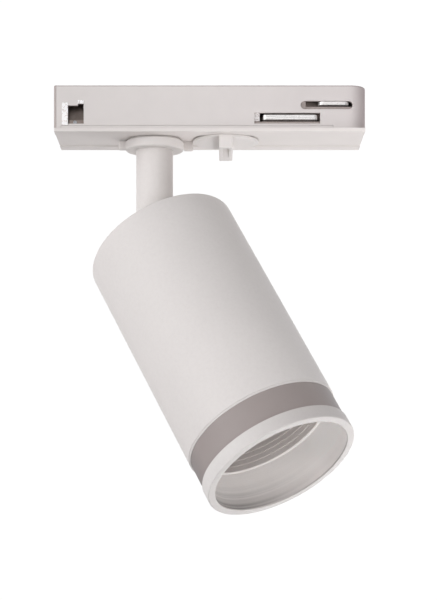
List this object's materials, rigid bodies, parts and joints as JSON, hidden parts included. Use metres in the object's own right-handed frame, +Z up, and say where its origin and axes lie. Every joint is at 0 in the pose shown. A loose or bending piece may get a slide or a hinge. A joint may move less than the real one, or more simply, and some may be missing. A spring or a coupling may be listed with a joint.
{
  "type": "track spotlight",
  "caption": "Cylindrical track spotlight: locking track adapter, panning stem, tilting head with a frosted ring near its front, recessed twist-lock reflector lamp.",
  "frame": {"origin": "on the swivel's vertical axis, in the plane of the adapter housing's flat top face, which seats in the roof of the track", "axes": "+Z up, out of the adapter's top into the track; +X along the track from the swivel towards the lock lever and the rounded leading end; +Y across the track, to the side the locking tongue comes out of; the contact blades come out of the -Y side"},
  "size_m": [0.1209, 0.0991, 0.1666],
  "materials": {
    "adapter_plastic": "moulded matt white",
    "lever_plastic": "moulded matt white",
    "white_paint": "fine-grained matt white powder coat",
    "bezel_paint": "fine-grained matt white powder coat",
    "baffle_paint": "matt white",
    "frosted_acrylic": "satin frosted translucent",
    "zinc_steel": "zinc plated",
    "spring_steel": "rolled strip",
    "plated_contact": "nickel plated",
    "insulator": "dark grey moulded",
    "brown_insulation": "satin",
    "blue_insulation": "satin",
    "green_insulation": "satin, green and yellow",
    "white_cable": "satin sheath",
    "lead_silicone": "matt braid",
    "grommet_rubber": "matt",
    "seal_rubber": "matt",
    "holder_ceramic": "unglazed",
    "lamp_plastic": "satin white",
    "lamp_lens_clear": "moulded optic",
    "lamp_board": "white solder resist",
    "led_phosphor": "satin"
  },
  "bodies": {
    "adapter": {"adapter_housing": "adapter_plastic", "adapter_base": "adapter_plastic", "housing_screws": "zinc_steel", "terminal_block": "insulator", "terminal_screws": "zinc_steel", "earth_spring": "spring_steel", "earth_rivets": "zinc_steel", "live_lead": "brown_insulation", "neutral_lead": "blue_insulation", "earth_lead": "green_insulation"},
    "lock_lever": {"lock_lever": "lever_plastic", "lock_cam": "insulator", "cam_screw": "zinc_steel"},
    "contact_slider": {"contact_carriage": "insulator", "live_contact": "plated_contact", "neutral_contact": "plated_contact", "contact_follower_pin": "zinc_steel"},
    "lock_slider": {"lock_carriage": "insulator", "lock_tongue": "zinc_steel", "lock_follower_pin": "zinc_steel"},
    "stem": {"swivel_collar": "lever_plastic", "swivel_nipple": "zinc_steel", "swivel_flat_washer": "zinc_steel", "swivel_spring_washer": "spring_steel", "swivel_nut": "zinc_steel", "stem_tube": "white_paint", "stem_top_plug": "zinc_steel", "stem_cable": "white_cable", "hinge_cable_loop": "white_cable", "hinge_fork": "white_paint", "hinge_screw": "zinc_steel", "hinge_nut": "zinc_steel", "hinge_washers": "zinc_steel"},
    "head": {"head_shell": "white_paint", "hinge_tongue": "white_paint", "tongue_screws": "zinc_steel", "cable_grommet": "grommet_rubber", "lampholder": "holder_ceramic", "holder_bracket": "zinc_steel", "bracket_screws": "zinc_steel", "holder_screws": "zinc_steel", "head_cable": "white_cable", "head_leads": "lead_silicone"},
    "lamp": {"lamp_body": "lamp_plastic", "lamp_lens": "lamp_lens_clear", "lamp_pins": "plated_contact", "lamp_led_board": "lamp_board", "lamp_leds": "led_phosphor"},
    "front_ring": {"front_bezel": "bezel_paint", "acrylic_ring": "frosted_acrylic", "front_baffle": "baffle_paint", "front_o_ring": "seal_rubber"}
  },
  "joints": [
    {"name": "lever_turn", "type": "hinge", "parent": "adapter", "child": "lock_lever", "pos_m": [0.0282, 0, -0.01815], "axis": [0, 0, 1], "range_deg": [0, 90]},
    {"name": "contact_slide", "type": "slide", "parent": "adapter", "child": "contact_slider", "axis": [0, -1, 0], "range_m": [0, 0.0032]},
    {"name": "lock_slide", "type": "slide", "parent": "adapter", "child": "lock_slider", "axis": [0, 1, 0], "range_m": [0, 0.0032]},
    {"name": "pan", "type": "hinge", "parent": "adapter", "child": "stem", "pos_m": [0, 0, -0.0541], "axis": [0, 0, 1], "range_deg": [-147, 184]},
    {"name": "tilt", "type": "hinge", "parent": "stem", "child": "head", "pos_m": [0, 0, -0.0541], "axis": [-0.7009, -0.7133, 0], "range_deg": [-35.7, 54.3], "deforming": ["hinge_cable_loop"]},
    {"name": "lamp_twist", "type": "hinge", "parent": "head", "child": "lamp", "pos_m": [0.0333, -0.03272, -0.11907], "axis": [-0.4162, 0.409, 0.8121], "range_deg": [0, 20]},
    {"name": "front_ring_pull", "type": "slide", "parent": "head", "child": "front_ring", "axis": [0.4162, -0.409, -0.8121], "range_m": [0, 0.03]}
  ],
  "couplings": [
    {"joint": "contact_slide", "follows": "lever_turn", "m_per_rad": 0.002037},
    {"joint": "lock_slide", "follows": "lever_turn", "m_per_rad": 0.002037}
  ]
}
